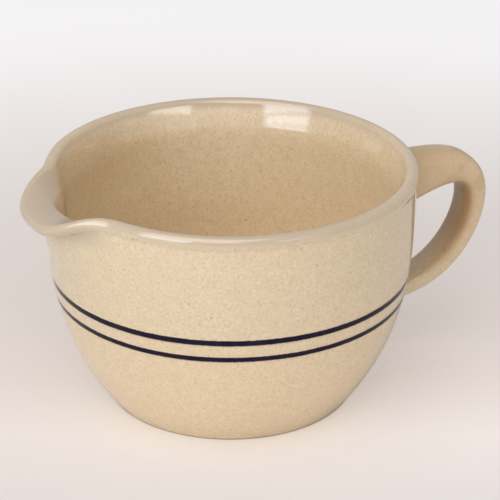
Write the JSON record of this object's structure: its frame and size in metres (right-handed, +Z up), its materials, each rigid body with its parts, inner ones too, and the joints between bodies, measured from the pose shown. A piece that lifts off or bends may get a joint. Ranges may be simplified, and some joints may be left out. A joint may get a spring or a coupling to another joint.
{
  "type": "batter bowl",
  "caption": "Speckled cream stoneware batter bowl with a pouring spout, a side handle and two dark blue bands.",
  "frame": {"origin": "middle of the foot, on the surface the bowl stands on, under the axis the bowl was turned on", "axes": "+Z up the axis of the bowl, +X from the axis to the handle; the spout lies 4 degrees off -X, towards -Y"},
  "size_m": [0.2554, 0.1909, 0.125],
  "materials": {
    "cream_glaze": "glossy, finely speckled",
    "blue_underglaze": "glossy",
    "handle_slip": "glossy"
  },
  "bodies": {
    "root": {"bowl_body": "cream_glaze", "upper_band": "blue_underglaze", "lower_band": "blue_underglaze", "handle": "cream_glaze", "upper_slip_joint": "handle_slip", "lower_slip_joint": "handle_slip"}
  },
  "joints": []
}
